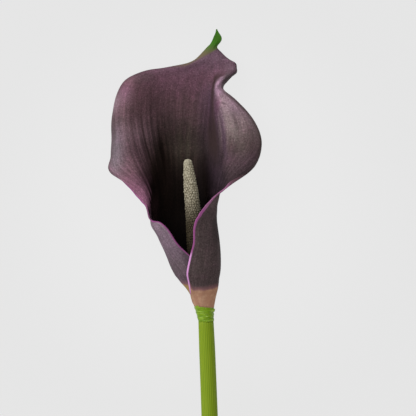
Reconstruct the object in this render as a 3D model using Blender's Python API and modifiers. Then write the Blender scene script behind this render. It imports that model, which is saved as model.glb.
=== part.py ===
"""A cut calla lily flower lying on its back, open side up, its stem along -Y. Metres, +Z up.

Sizes are written in millimetres about the place where the flower joins the stem, with y towards the
flower's point and z away from the table, and moved at the end so that the table is z = 0.
"""

import math

import bmesh
import bpy
import numpy as np

MM = 0.001
ORIGIN = (-8.6, -55.1, -22.74)  # the table, under the middle of the flower and stem

SPATHE_THICKNESS = 0.7
SPATHE_COLUMNS = 40
SPATHE_BANDS = (1, 2, 2, 2, 3, 4, 4, 4, 4, 4, 5, 5, 4, 4, 4, 3, 3, 2)  # steps between two guide rows

RIBS, RIB_DEPTH = 26, 0.03  # the depth is a share of the radius
# Distance down from the joint, and radius: a neck up inside the spathe, a waist under the tape, the stem.
STEM_STATIONS = (
    (-8.0, 1.7), (-7.6, 2.05), (0.9, 2.05), (1.1, 2.65), (6.2, 2.65), (6.4, 3.4), (8.0, 3.46),
    (20, 3.62), (60, 3.72), (115, 3.72), (175, 3.72), (234.7, 3.72), (235.0, 3.5),
)  # fmt: skip

TAPE_LENGTH = 6.0
TAPE_INNER = 2.95
TAPE_TOP, TAPE_FOOT = 4.75, 3.7  # outer radii
TAPE_SET = 0.5  # how far its top stands to the left of the stem
TAPE_TURN, TAPE_STEP = 2.1, 0.22  # one turn's width, and how far each turn stands over the last
TAPE_AROUND, TAPE_ACROSS = 48, 16

SPADIX_FOOT, SPADIX_TIP = (-0.9, 8.35, 0.2), (-7.5, 66.1, -3.0)
SPADIX_RADII = (2.5, 3.3, 3.6, 3.6, 3.4, 3.0, 2.0)  # evenly spaced, from the foot to where the tip rounds
SPADIX_BOW, SPADIX_BOW_END = 1.3, 0.65
FLORETS_AROUND, FLORET_LENGTH, FLORET_HEIGHT = 14, 1.54, 0.3

# The spathe's tube, low to high: centre x, y, first and last radius, first and last angle. An angle
# is 0 at the front and 90 at the left. The sheet passes the front twice, so its margins overlap.
TUBE = (
    (-0.2, 3.0, 4.05, 5.5, -30, 430),
    (-1.2, 8.0, 6.0, 7.7, -28, 402),
    (-2.8, 12.5, 8.1, 9.8, -24, 387),
    (-4.1, 17.0, 9.9, 11.4, -20, 376),
    (-6.5, 28.5, 12.7, 12.8, 27, 353),
)
FOOT = (0.1, 0.0, 3.2, 4.5, -30, 425)

# The open part, low to high. Each row runs from the left margin over the left lobe's lip and ridge,
# down the wall to the middle of the back, and up over the right ridge and lip to the right margin.
OPEN = (
    # the top of the left front panel
    ((-19.5, 37.3, 10.8), (-22.4, 35.2, 5.6), (-23.4, 37.0, -2.2), (-18.9, 39.4, -11.2), (-9.3, 40.0, -14.8),
     (0.5, 39.8, -11.3), (5.4, 39.4, -2.7), (3.6, 38.8, 6.8), (-3.6, 38.4, 12.9)),
    # the two sides of the pinch below the left lobe
    ((-24.2, 39.0, 4.0), (-24.2, 41.2, -0.4), (-23.4, 43.4, -5.2), (-18.7, 46.4, -11.9), (-9.3, 48.0, -15.0),
     (0.3, 47.3, -12.0), (5.4, 45.6, -3.6), (5.2, 43.7, 5.0), (-0.9, 43.0, 11.0)),
    ((-25.8, 44.1, 1.0), (-25.2, 46.8, -1.4), (-24.0, 50.4, -5.2), (-18.9, 54.9, -12.0), (-9.2, 57.6, -15.0),
     (0.5, 56.7, -12.0), (5.9, 53.6, -2.3), (6.7, 51.1, 3.0), (3.8, 48.7, 6.5)),
    # the two lobes, turned out and then back to the table
    ((-31.6, 51.2, 0.0), (-29.7, 54.0, 1.0), (-27.0, 57.6, 0.0), (-20.3, 64.4, -11.7), (-9.0, 68.0, -15.5),
     (0.9, 66.2, -12.0), (7.0, 61.7, -1.0), (11.2, 57.9, 2.9), (12.4, 55.1, 3.0)),
    ((-40.3, 59.3, -4.5), (-40.8, 61.6, -2.0), (-32.0, 67.5, 1.0), (-22.3, 73.8, -11.7), (-9.0, 76.5, -16.5),
     (1.6, 75.2, -12.5), (8.1, 71.6, 0.0), (19.3, 65.9, 1.0), (21.6, 61.9, -3.5)),
    ((-39.2, 68.0, -20.0), (-41.4, 73.4, -7.0), (-34.7, 79.2, 0.0), (-23.6, 84.2, -12.0), (-8.6, 86.9, -17.0),
     (2.3, 86.4, -14.0), (7.0, 83.3, -1.0), (24.2, 76.7, -3.5), (21.7, 70.2, -20.3)),
    ((-37.2, 85.0, -22.0), (-40.7, 89.0, -11.0), (-34.9, 92.3, -3.5), (-23.4, 94.5, -13.0), (-7.9, 96.3, -18.5),
     (3.6, 95.9, -15.5), (5.0, 94.1, -3.5), (16.4, 90.3, -5.5), (16.9, 85.4, -20.6)),
    # the left lobe's corner, and the notch above the right lobe
    ((-32.0, 95.0, -20.8), (-36.4, 99.9, -14.0), (-31.4, 101.6, -11.0), (-21.2, 102.0, -15.5), (-6.3, 103.0, -18.8),
     (4.5, 102.2, -17.0), (5.6, 99.5, -7.0), (7.9, 98.1, -9.0), (9.5, 95.9, -15.3)),
    # the rolled top edge, and the flap at its right
    ((-22.2, 102.3, -21.4), (-24.8, 106.1, -17.6), (-20.0, 106.3, -16.6), (-12.2, 106.1, -17.6), (-3.2, 107.1, -18.7),
     (4.0, 106.9, -17.8), (8.6, 105.8, -15.0), (12.9, 105.8, -14.2), (12.4, 103.8, -17.0)),
    ((-9.3, 106.6, -21.6), (-8.3, 109.0, -19.2), (-5.0, 109.8, -17.9), (-1.8, 110.6, -17.8), (1.6, 111.2, -18.0),
     (4.7, 111.2, -17.8), (8.1, 110.7, -16.8), (11.2, 110.0, -16.4), (13.5, 109.2, -16.8)),
    # the narrow point, from its root to its tip
    ((-1.3, 113.5, -20.4), (-0.2, 114.7, -19.2), (0.9, 115.1, -18.3), (1.9, 115.3, -17.9), (2.9, 115.5, -17.8),
     (3.8, 115.6, -17.8), (4.6, 115.7, -18.0), (5.3, 115.7, -18.3), (5.9, 115.7, -18.9)),
    ((3.7, 119.6, -17.9), (4.15, 119.8, -17.8), (4.6, 120.0, -17.7), (5.1, 120.2, -17.6), (5.6, 120.3, -17.6),
     (6.1, 120.3, -17.6), (6.6, 120.2, -17.7), (7.1, 120.1, -17.8), (7.6, 119.9, -17.9)),
    ((5.1, 124.8, -16.8), (5.25, 124.9, -16.8), (5.4, 125.0, -16.8), (5.55, 125.1, -16.8), (5.7, 125.1, -16.8),
     (5.85, 125.1, -16.8), (6.0, 125.0, -16.8), (6.15, 124.9, -16.8), (6.3, 124.8, -16.8)),
)

# the sheet's small local moves, at the notch and the corners beside it:
# row and column, how far they reach along and across, and the move
NUDGES = (
    (13.1, 8.0, 0.45, 1.6, (-0.9, 1.2, 0.0)),
    (12.5, 7.6, 0.35, 1.2, (0.7, 0.5, 0.0)),
    (15.85, 8.0, 0.30, 1.2, (0.5, 0.1, 0.0)),
    (14.95, 8.0, 0.22, 0.9, (0.5, 0.5, 0.0)),
    (14.35, 8.0, 0.25, 0.9, (0.6, -0.4, 0.0)),
    (13.1, 1.0, 0.35, 1.0, (-0.3, 0.3, 0.0)),
    (10.1, 0.7, 0.30, 1.1, (-0.6, 0.1, 0.0)),
    (10.55, 0.8, 0.25, 1.2, (0.6, 0.0, 0.0)),
    (8.55, 7.6, 0.35, 0.9, (0.7, -0.35, 0.0)),
    (7.90, 8.0, 0.30, 0.9, (0.1, -0.25, 0.0)),
    (6.40, 8.0, 0.25, 0.9, (0.3, -0.1, 0.0)),
    (5.60, 8.0, 0.30, 0.9, (-0.3, 0.0, 0.0)),
    (4.95, 8.0, 0.25, 0.9, (0.35, 0.0, 0.0)),
    (10.35, 8.0, 0.25, 0.8, (0.6, 0.0, 0.0)),
    (6.60, 0.0, 0.30, 0.9, (0.0, -0.5, 0.0)),
    (5.45, 0.0, 0.40, 1.0, (0.45, 0.35, 0.0)),
    (5.35, 1.6, 0.30, 0.7, (0.5, 0.0, 0.0)),
    (4.50, 2.0, 0.45, 1.2, (-0.35, 0.0, 0.0)),
    (9.25, 0.0, 0.22, 1.0, (0.5, 0.0, 0.0)),
    (8.75, 0.0, 0.22, 1.0, (-0.5, 0.0, 0.0)),
    (8.43, 0.0, 0.16, 1.0, (-0.45, 0.0, 0.0)),
    (9.60, 0.0, 0.25, 1.0, (0.45, 0.5, 0.0)),
    (11.55, 0.9, 0.35, 0.9, (-0.55, 0.0, 0.0)),
    (14.30, 1.3, 0.25, 1.0, (0.0, -0.3, 0.0)),
    (5.70, 1.6, 0.28, 0.7, (0.45, 0.0, 0.0)),
    (3.75, 2.2, 0.35, 1.0, (0.3, 0.0, 0.0)),
    (2.60, 2.2, 0.40, 1.0, (-0.4, 0.0, 0.0)),
    (7.15, 6.5, 0.40, 0.8, (-0.45, 0.0, 0.0)),
    (4.90, 6.0, 0.90, 0.9, (0.5, 0.0, 0.0)),
    (4.95, 0.0, 0.25, 0.9, (-0.1, -0.35, 0.0)),
    (8.60, 7.0, 0.45, 0.55, (0.4, -0.6, 0.0)),
)

COLOURS = {
    "spathe": (0.17, 0.10, 0.14),
    "spadix": (0.50, 0.44, 0.30),
    "tape": (0.22, 0.38, 0.05),
    "stem": (0.24, 0.33, 0.06),
}


def spline(points, at):
    """Points at the places `at`, counted in points, on the natural cubic spline through them."""
    p = np.asarray(points, float)
    count = len(p)
    matrix = np.eye(count)
    right = np.zeros_like(p)
    for i in range(1, count - 1):
        matrix[i, i - 1 : i + 2] = (1, 4, 1)
        right[i] = 6 * (p[i - 1] - 2 * p[i] + p[i + 1])
    bend = np.linalg.solve(matrix, right.reshape(count, -1)).reshape(p.shape)
    low = np.clip(np.asarray(at, int), 0, count - 2)
    b = (np.asarray(at, float) - low).reshape((-1,) + (1,) * (p.ndim - 1))
    a = 1 - b
    return a * p[low] + b * p[low + 1] + ((a**3 - a) * bend[low] + (b**3 - b) * bend[low + 1]) / 6


def lean(x, z):
    """How far a point of a cut square to the stem's top lies along y."""
    return 0.048 * x - 0.086 * z


def tape_top(angle):
    """How far along y the tape's upper edge stands at an angle: it slants, as a wound edge does."""
    return -0.7 + 0.65 * math.cos(angle - math.radians(65))


def tube_row(x, y, first, last, start, end):
    """Nine guide points on one turn of the spathe's tube."""
    row = []
    for k in range(9):
        angle = math.radians(start + (end - start) * k / 8)
        radius = first + (last - first) * k / 8
        row.append((x - radius * math.sin(angle), y, radius * math.cos(angle)))
    return row


def foot_row():
    """The spathe's lower edge, which follows the tape's upper one at a small gap."""
    row = []
    for k, (x, y, z) in enumerate(tube_row(*FOOT)):
        angle = math.radians(FOOT[4] + (FOOT[5] - FOOT[4]) * k / 8)
        row.append((x, y + lean(x, z) + tape_top(angle) + 0.35, z))
    return row


def spathe_points():
    """The spathe's middle surface: an array of rows by columns by three."""
    guides = np.array([foot_row()] + [tube_row(*ring) for ring in TUBE] + [list(row) for row in OPEN])
    places = [0.0]
    for band, steps in enumerate(SPATHE_BANDS):
        places += [band + (k + 1) / steps for k in range(steps)]
    across = np.linspace(0, 8, SPATHE_COLUMNS + 1)
    rows = spline(guides, places)
    points = spline(rows.transpose(1, 0, 2), across).transpose(1, 0, 2)
    for place_row, column, reach_along, reach_across, move in NUDGES:
        along = np.exp(-(((np.array(places) - place_row) / reach_along) ** 2))
        beside = np.exp(-(((across - column) / reach_across) ** 2))
        points = points + np.outer(along, beside)[..., None] * np.array(move)
    return points


def stem_axis(down):
    """The stem's middle at a distance down from the joint: it leans and bends a little."""
    return np.array((0.6 + 0.042 * down - 0.00006 * down**2, -down, -0.0863 * down + 0.00002 * down**2))


def material(name):
    made = bpy.data.materials.new(name)
    made.use_nodes = True
    shader = made.node_tree.nodes["Principled BSDF"]
    shader.inputs["Base Color"].default_value = (*COLOURS[name], 1.0)
    shader.inputs["Roughness"].default_value = 0.6
    return made


def add_object(name, data, collection="calla_lily"):
    """An object of this mesh or curve, in a collection."""
    obj = bpy.data.objects.new(name, data)
    bpy.data.collections[collection].objects.link(obj)
    if name in COLOURS:
        data.materials.append(material(name))
    return obj


def place(point):
    """A point of the drawing, in metres from the part's origin."""
    return [(c - o) * MM for c, o in zip(point, ORIGIN)]


def add_mesh(name, bm, smooth=True):
    """An object of this mesh, whose points are still in the drawing's millimetres."""
    for vert in bm.verts:
        vert.co = place(vert.co)
    mesh = bpy.data.meshes.new(name)
    bm.to_mesh(mesh)
    bm.free()
    if smooth:
        mesh.shade_smooth()
    return add_object(name, mesh)


def build_spathe():
    """One rolled sheet: a flat grid bent to the surface, split into triangles and given its thickness."""
    points = spathe_points()
    steps = len(points) - 1
    bm = bmesh.new()
    bmesh.ops.create_grid(bm, x_segments=SPATHE_COLUMNS, y_segments=steps, size=0.5)
    for vert in bm.verts:
        column = round((vert.co.x + 0.5) * SPATHE_COLUMNS)
        row = round((vert.co.y + 0.5) * steps)
        vert.co = points[row, column]
    obj = add_mesh("spathe", bm)
    obj.modifiers.new("Triangulate", "TRIANGULATE")
    solid = obj.modifiers.new("Solidify", "SOLIDIFY")
    solid.thickness = SPATHE_THICKNESS * MM
    solid.offset = 0.0


def closed_outline(name, points):
    """A closed flat curve, as a guide that other curves are swept with."""
    curve = bpy.data.curves.new(name, "CURVE")
    spline_2d = curve.splines.new("POLY")
    spline_2d.points.add(len(points) - 1)
    for point, (x, y) in zip(spline_2d.points, points):
        point.co = (x, y, 0.0, 1.0)
    spline_2d.use_cyclic_u = True
    obj = add_object(name, curve, "guides")
    obj.hide_render = True
    obj.display_type = "WIRE"
    return obj


def build_stem():
    """The stem: a ribbed outline swept down its leaning middle line, with its radius at each station."""
    outline = []
    for k in range(2 * RIBS):
        angle = -math.pi * k / RIBS
        radius = MM * (1 - RIB_DEPTH * (k % 2))
        outline.append((radius * math.cos(angle), radius * math.sin(angle)))
    curve = bpy.data.curves.new("stem", "CURVE")
    curve.dimensions = "3D"
    curve.bevel_mode = "OBJECT"
    curve.bevel_object = closed_outline("stem_outline", outline)
    curve.use_fill_caps = True
    path = curve.splines.new("POLY")
    path.points.add(len(STEM_STATIONS) - 1)
    for point, (down, radius) in zip(path.points, STEM_STATIONS):
        point.co = (*place(stem_axis(down)), 1.0)
        point.radius = radius
    add_object("stem", curve)


def tape_section(angle):
    """The collar's section at an angle: down its wound outside from top to foot, and back up its inside."""
    top = -tape_top(angle)
    outside = TAPE_ACROSS - 4
    section = []
    for step in range(outside + 1):
        down = top + (TAPE_LENGTH - top) * step / outside
        turn = (down / TAPE_TURN - angle / (2 * math.pi)) % 1.0
        sink = turn if turn < 0.8 else 4 * (1 - turn)
        radius = TAPE_TOP + (TAPE_FOOT - TAPE_TOP) * (down / TAPE_LENGTH) ** 0.7
        section.append((down, radius - TAPE_STEP * sink * min(1, outside - step)))
    middle = (top + TAPE_LENGTH) / 2
    return section + [(TAPE_LENGTH, TAPE_INNER), (middle, TAPE_INNER), (top, TAPE_INNER)]


def build_tape():
    """A collar of wound tape: a ring whose outside steps in where each turn lies on the one below."""
    bpy.ops.mesh.primitive_torus_add(
        major_segments=TAPE_AROUND, minor_segments=TAPE_ACROSS, major_radius=1.0, minor_radius=0.5
    )
    ring = bpy.context.object
    bm = bmesh.new()
    bm.from_mesh(ring.data)
    bpy.data.objects.remove(ring)
    for vert in bm.verts:
        angle = math.atan2(vert.co.y, vert.co.x)
        around = math.atan2(vert.co.z, math.hypot(vert.co.x, vert.co.y) - 1.0)
        step = round(around / (2 * math.pi) * TAPE_ACROSS) % TAPE_ACROSS
        down, radius = tape_section(angle)[step]
        x, y, z = stem_axis(down)
        side, front = -radius * math.sin(angle), radius * math.cos(angle)
        if radius > TAPE_INNER:
            x -= TAPE_SET * (1 - down / TAPE_LENGTH)
        vert.co = (x + side, y + lean(side, front), z + front)
    add_mesh("tape", bm)


def spadix_station(along):
    """Place and radius at a distance along the spadix's outline, over its round tip."""
    end = SPADIX_RADII[-1]
    straight = math.dist(SPADIX_FOOT, SPADIX_TIP) - end
    if along > straight:
        turn = min((along - straight) / end, math.pi / 2)
        return straight + end * math.sin(turn), end * math.cos(turn)
    knots = np.array(SPADIX_RADII)[:, None]
    return along, float(spline(knots, [along / straight * (len(knots) - 1)])[0, 0])


def build_spadix():
    """The spadix: a sphere drawn out along its axis, its florets raised as staggered points."""
    foot, tip = np.array(SPADIX_FOOT), np.array(SPADIX_TIP)
    axis = (tip - foot) / np.linalg.norm(tip - foot)
    side = np.cross((0.0, 0.0, 1.0), axis)
    side /= np.linalg.norm(side)
    front = np.cross(axis, side)
    end = SPADIX_RADII[-1]
    outline = math.dist(SPADIX_FOOT, SPADIX_TIP) - end + end * math.pi / 2
    around, rings = 2 * FLORETS_AROUND, round(outline / (FLORET_LENGTH / 2))
    bm = bmesh.new()
    bmesh.ops.create_uvsphere(bm, u_segments=around, v_segments=rings, radius=1.0)
    for vert in bm.verts:
        ring = round((math.asin(max(-1.0, min(1.0, vert.co.z))) / math.pi + 0.5) * rings)
        angle = math.atan2(vert.co.y, vert.co.x)
        spoke = round(angle / (2 * math.pi) * around)
        reach, radius = spadix_station(outline * max(ring - 1, 0) / (rings - 1))
        if ring in (0, rings):
            radius = 0.0
        elif 1 < ring < rings - 1:
            radius += FLORET_HEIGHT * (0.5 if (ring + spoke) % 2 else -0.5)
        bend = min(reach / (math.dist(SPADIX_FOOT, SPADIX_TIP) * SPADIX_BOW_END), 1.0)
        bow = np.array((SPADIX_BOW * 6.75 * bend * (1 - bend) ** 2, 0.0, 0.0))
        vert.co = foot - bow + axis * reach + radius * (side * math.cos(angle) + front * math.sin(angle))
    obj = add_mesh("spadix", bm, smooth=False)
    obj.modifiers.new("Triangulate", "TRIANGULATE").quad_method = "SHORTEST_DIAGONAL"


def main():
    for obj in list(bpy.data.objects):
        bpy.data.objects.remove(obj)
    for name in ("calla_lily", "guides"):
        collection = bpy.data.collections.new(name)
        bpy.context.scene.collection.children.link(collection)
    build_spathe()
    build_spadix()
    build_tape()
    build_stem()


main()
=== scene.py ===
"""The looks of a cut calla lily flower that lies on its back on a pale floor, open side up.

Every piece takes its form from the same values as the part's source. Sizes are in millimetres about the
place where the flower joins the stem, and are moved to the part's frame, in metres, as a mesh is made.
"""

import math

import bpy
import numpy as np
from mathutils.kdtree import KDTree
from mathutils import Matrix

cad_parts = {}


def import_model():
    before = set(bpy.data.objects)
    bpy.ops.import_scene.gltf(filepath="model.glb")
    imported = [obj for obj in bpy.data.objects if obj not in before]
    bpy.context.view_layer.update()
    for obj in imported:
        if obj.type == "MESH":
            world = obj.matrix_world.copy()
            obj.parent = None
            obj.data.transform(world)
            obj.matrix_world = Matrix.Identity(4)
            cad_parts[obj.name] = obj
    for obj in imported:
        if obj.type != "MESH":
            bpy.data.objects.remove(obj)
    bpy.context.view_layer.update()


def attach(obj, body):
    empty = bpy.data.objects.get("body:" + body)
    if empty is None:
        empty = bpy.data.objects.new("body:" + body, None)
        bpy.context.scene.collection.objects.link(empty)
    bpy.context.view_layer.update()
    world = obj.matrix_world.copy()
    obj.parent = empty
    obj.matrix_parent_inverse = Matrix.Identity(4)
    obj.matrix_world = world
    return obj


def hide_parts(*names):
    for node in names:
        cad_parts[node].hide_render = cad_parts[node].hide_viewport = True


MM = 0.001
ORIGIN = np.array((-8.6, -55.1, -22.74))

# ---- the stage, in metres, with the camera's sensor and lens in millimetres ----
VIEW_CENTRE = (0.0104, 0.0992)
FLOOR_SIZE, FLOOR_DROP = 6.0, 0.0004
FLOOR_MIDDLE = (-0.006, 0.0, 0.0)  # where the paper's painted pool of light is brightest, from its centre
FLOOR_FADE = (0.03, 0.11)  # how far out the painted pool of light is still bright, and where it is dull
FLOOR_BRIGHT, FLOOR_DULL, FLOOR_PAPER = (0.82, 0.82, 0.82), (0.785, 0.785, 0.785), (0.80, 0.80, 0.80)
FLOOR_SHADED = 0.04  # the share of the floor's shading that takes light and shadow
LIGHT_FROM = (-0.64, 0.43, 0.64)
SKY_FACING = (-0.3, 1.0)  # how squarely the sky's darkest and brightest parts face the light
SKY_DARK, SKY_BRIGHT = 0.25, 1.25
WINDOW_POWER, WINDOW_SIZE = 9.0, 0.9
WINDOW_OFFSET = (-0.9, 0.6, 0.9)
CAMERA_REACH = 3.0
FOCUS_HEIGHT = 0.0227
FRAME_WIDTH = 0.1872
SENSOR_WIDTH = 36.0
LENS = SENSOR_WIDTH * CAMERA_REACH / FRAME_WIDTH

# ---- the spathe's guide rows, as in the part's source ----
TUBE = (
    (-0.2, 3.0, 4.05, 5.5, -30, 430),
    (-1.2, 8.0, 6.0, 7.7, -28, 402),
    (-2.8, 12.5, 8.1, 9.8, -24, 387),
    (-4.1, 17.0, 9.9, 11.4, -20, 376),
    (-6.5, 28.5, 12.7, 12.8, 27, 353),
)
FOOT = (0.1, 0.0, 3.2, 4.5, -30, 425)
OPEN = (
    ((-19.5, 37.3, 10.8), (-22.4, 35.2, 5.6), (-23.4, 37.0, -2.2), (-18.9, 39.4, -11.2), (-9.3, 40.0, -14.8),
     (0.5, 39.8, -11.3), (5.4, 39.4, -2.7), (3.6, 38.8, 6.8), (-3.6, 38.4, 12.9)),
    ((-24.2, 39.0, 4.0), (-24.2, 41.2, -0.4), (-23.4, 43.4, -5.2), (-18.7, 46.4, -11.9), (-9.3, 48.0, -15.0),
     (0.3, 47.3, -12.0), (5.4, 45.6, -3.6), (5.2, 43.7, 5.0), (-0.9, 43.0, 11.0)),
    ((-25.8, 44.1, 1.0), (-25.2, 46.8, -1.4), (-24.0, 50.4, -5.2), (-18.9, 54.9, -12.0), (-9.2, 57.6, -15.0),
     (0.5, 56.7, -12.0), (5.9, 53.6, -2.3), (6.7, 51.1, 3.0), (3.8, 48.7, 6.5)),
    ((-31.6, 51.2, 0.0), (-29.7, 54.0, 1.0), (-27.0, 57.6, 0.0), (-20.3, 64.4, -11.7), (-9.0, 68.0, -15.5),
     (0.9, 66.2, -12.0), (7.0, 61.7, -1.0), (11.2, 57.9, 2.9), (12.4, 55.1, 3.0)),
    ((-40.3, 59.3, -4.5), (-40.8, 61.6, -2.0), (-32.0, 67.5, 1.0), (-22.3, 73.8, -11.7), (-9.0, 76.5, -16.5),
     (1.6, 75.2, -12.5), (8.1, 71.6, 0.0), (19.3, 65.9, 1.0), (21.6, 61.9, -3.5)),
    ((-39.2, 68.0, -20.0), (-41.4, 73.4, -7.0), (-34.7, 79.2, 0.0), (-23.6, 84.2, -12.0), (-8.6, 86.9, -17.0),
     (2.3, 86.4, -14.0), (7.0, 83.3, -1.0), (24.2, 76.7, -3.5), (21.7, 70.2, -20.3)),
    ((-37.2, 85.0, -22.0), (-40.7, 89.0, -11.0), (-34.9, 92.3, -3.5), (-23.4, 94.5, -13.0), (-7.9, 96.3, -18.5),
     (3.6, 95.9, -15.5), (5.0, 94.1, -3.5), (16.4, 90.3, -5.5), (16.9, 85.4, -20.6)),
    ((-32.0, 95.0, -20.8), (-36.4, 99.9, -14.0), (-31.4, 101.6, -11.0), (-21.2, 102.0, -15.5), (-6.3, 103.0, -18.8),
     (4.5, 102.2, -17.0), (5.6, 99.5, -7.0), (7.9, 98.1, -9.0), (9.5, 95.9, -15.3)),
    ((-22.2, 102.3, -21.4), (-24.8, 106.1, -17.6), (-20.0, 106.3, -16.6), (-12.2, 106.1, -17.6), (-3.2, 107.1, -18.7),
     (4.0, 106.9, -17.8), (8.6, 105.8, -15.0), (12.9, 105.8, -14.2), (12.4, 103.8, -17.0)),
    ((-9.3, 106.6, -21.6), (-8.3, 109.0, -19.2), (-5.0, 109.8, -17.9), (-1.8, 110.6, -17.8), (1.6, 111.2, -18.0),
     (4.7, 111.2, -17.8), (8.1, 110.7, -16.8), (11.2, 110.0, -16.4), (13.5, 109.2, -16.8)),
    ((-1.3, 113.5, -20.4), (-0.2, 114.7, -19.2), (0.9, 115.1, -18.3), (1.9, 115.3, -17.9), (2.9, 115.5, -17.8),
     (3.8, 115.6, -17.8), (4.6, 115.7, -18.0), (5.3, 115.7, -18.3), (5.9, 115.7, -18.9)),
    ((3.7, 119.6, -17.9), (4.15, 119.8, -17.8), (4.6, 120.0, -17.7), (5.1, 120.2, -17.6), (5.6, 120.3, -17.6),
     (6.1, 120.3, -17.6), (6.6, 120.2, -17.7), (7.1, 120.1, -17.8), (7.6, 119.9, -17.9)),
    ((5.1, 124.8, -16.8), (5.25, 124.9, -16.8), (5.4, 125.0, -16.8), (5.55, 125.1, -16.8), (5.7, 125.1, -16.8),
     (5.85, 125.1, -16.8), (6.0, 125.0, -16.8), (6.15, 124.9, -16.8), (6.3, 124.8, -16.8)),
)
NUDGES = (
    # place, column, how far they reach, and the move in millimetres
    (13.1, 8.0, 0.45, 1.6, (-0.9, 1.2, 0.0)),
    (12.5, 7.6, 0.35, 1.2, (0.7, 0.5, 0.0)),
    (15.85, 8.0, 0.30, 1.2, (0.5, 0.1, 0.0)),
    (14.95, 8.0, 0.22, 0.9, (0.5, 0.5, 0.0)),
    (14.35, 8.0, 0.25, 0.9, (0.6, -0.4, 0.0)),
    (13.1, 1.0, 0.35, 1.0, (-0.3, 0.3, 0.0)),
    (10.1, 0.7, 0.30, 1.1, (-0.6, 0.1, 0.0)),
    (10.55, 0.8, 0.25, 1.2, (0.6, 0.0, 0.0)),
    (8.55, 7.6, 0.35, 0.9, (0.7, -0.35, 0.0)),
    (7.90, 8.0, 0.30, 0.9, (0.1, -0.25, 0.0)),
    (6.40, 8.0, 0.25, 0.9, (0.3, -0.1, 0.0)),
    (5.60, 8.0, 0.30, 0.9, (-0.3, 0.0, 0.0)),
    (4.95, 8.0, 0.25, 0.9, (0.35, 0.0, 0.0)),
    (10.35, 8.0, 0.25, 0.8, (0.6, 0.0, 0.0)),
    (6.60, 0.0, 0.30, 0.9, (0.0, -0.5, 0.0)),
    (5.45, 0.0, 0.40, 1.0, (0.45, 0.35, 0.0)),
    (5.35, 1.6, 0.30, 0.7, (0.5, 0.0, 0.0)),
    (4.50, 2.0, 0.45, 1.2, (-0.35, 0.0, 0.0)),
    (9.25, 0.0, 0.22, 1.0, (0.5, 0.0, 0.0)),
    (8.75, 0.0, 0.22, 1.0, (-0.5, 0.0, 0.0)),
    (8.43, 0.0, 0.16, 1.0, (-0.45, 0.0, 0.0)),
    (9.60, 0.0, 0.25, 1.0, (0.45, 0.5, 0.0)),
    (11.55, 0.9, 0.35, 0.9, (-0.55, 0.0, 0.0)),
    (14.30, 1.3, 0.25, 1.0, (0.0, -0.3, 0.0)),
    (5.70, 1.6, 0.28, 0.7, (0.45, 0.0, 0.0)),
    (3.75, 2.2, 0.35, 1.0, (0.3, 0.0, 0.0)),
    (2.60, 2.2, 0.40, 1.0, (-0.4, 0.0, 0.0)),
    (7.15, 6.5, 0.40, 0.8, (-0.45, 0.0, 0.0)),
    (4.90, 6.0, 0.90, 0.9, (0.5, 0.0, 0.0)),
    (4.95, 0.0, 0.25, 0.9, (-0.1, -0.35, 0.0)),
    (8.60, 7.0, 0.45, 0.55, (0.4, -0.6, 0.0)),
)
BANDS = (1, 2, 2, 2, 3, 4, 4, 4, 4, 4, 5, 5, 4, 4, 4, 3, 3, 2)
FINER = 4  # rows here for each row of the solid
LAST_COLUMN, BACK_COLUMN = 8, 4  # the right margin's and the back's, counted from the left margin
COLUMNS = 164
HALF_SHEET = 0.35
SEAT_GAP = 0.35  # between the spathe's foot and the tape
RIM_POINTS = 3
VEINS = 3.1  # for each column
VEIN_HEIGHT, PLEAT_HEIGHT = 0.04, 0.12

# ---- the sheet's colours, at heights in the drawing ----
# the wall darkens to near black down the throat: partly its own dark colour, partly painted shade of the deep throat
WALL_AND_THROAT_SHADE = (
    (48, (0.004, 0.0025, 0.002)), (58, (0.010, 0.006, 0.005)), (66, (0.020, 0.013, 0.011)),
    (71, (0.036, 0.025, 0.022)), (82, (0.056, 0.034, 0.036)), (93, (0.086, 0.046, 0.055)),
    (103, (0.130, 0.063, 0.088)), (112, (0.120, 0.070, 0.096)),
)  # fmt: skip
LEFT_LOBE = (
    (43, (0.087, 0.044, 0.066)), (45, (0.25, 0.105, 0.175)), (54, (0.25, 0.115, 0.17)), (60, (0.150, 0.080, 0.100)),
    (67, (0.120, 0.067, 0.082)), (77, (0.140, 0.085, 0.102)), (88, (0.125, 0.070, 0.080)), (98, (0.130, 0.066, 0.080)),
)  # fmt: skip
# the right lobe brightens upwards; its bright top is partly a painted highlight where it faces the light
RIGHT_LOBE = (
    (54, (0.045, 0.030, 0.034)), (60, (0.060, 0.039, 0.045)), (67, (0.095, 0.058, 0.070)), (72, (0.108, 0.070, 0.075)),
    (77, (0.145, 0.102, 0.106)), (83, (0.205, 0.145, 0.155)), (92, (0.240, 0.160, 0.190)),
)  # fmt: skip
# the left front panel's outer face pales upwards, partly a painted sheen
LEFT_PANEL = (
    (10, (0.100, 0.064, 0.085)), (18, (0.103, 0.076, 0.088)), (28, (0.165, 0.115, 0.150)), (40, (0.20, 0.145, 0.18)),
)  # fmt: skip
# lines on the sheet, as heights and the x at each: where the wall meets the lobes, the fold in the right
# lobe, and the left border of the painted shade band in the notch
LEFT_EDGE = (
    (39, 44.5, 46.5, 49.5, 52, 55.5, 60, 66, 76, 100),
    (-23.8, -24.9, -24.6, -24.4, -24.8, -26.0, -27.0, -26.5, -25.0, -25.0),
)  # fmt: skip
RIGHT_EDGE = (
    (58, 66, 71, 75, 80, 85, 90, 93, 97.2, 99.5, 101.7, 102.8, 103.7),
    (10.5, 8.8, 8.0, 7.8, 7.4, 7.1, 6.5, 5.9, 4.8, 5.0, 5.9, 7.4, 9.4),
)  # fmt: skip
FOLD_LINE = ((72.0, 78.8, 81.9, 86.4, 90.5), (10.3, 9.8, 9.0, 7.9, 6.6))
NOTCH_LINE = ((97.5, 99.0, 101.3, 103.5), (7.6, 7.6, 8.2, 9.8))
# how far the right rim's pink reaches in from the margin, at places along it
BAND_WIDTH = ((5.4, 6.2, 7.0, 7.6, 8.3, 8.8, 9.4, 10.0), (0.0, 0.6, 1.2, 1.5, 1.1, 1.1, 0.5, 0.0))

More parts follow.
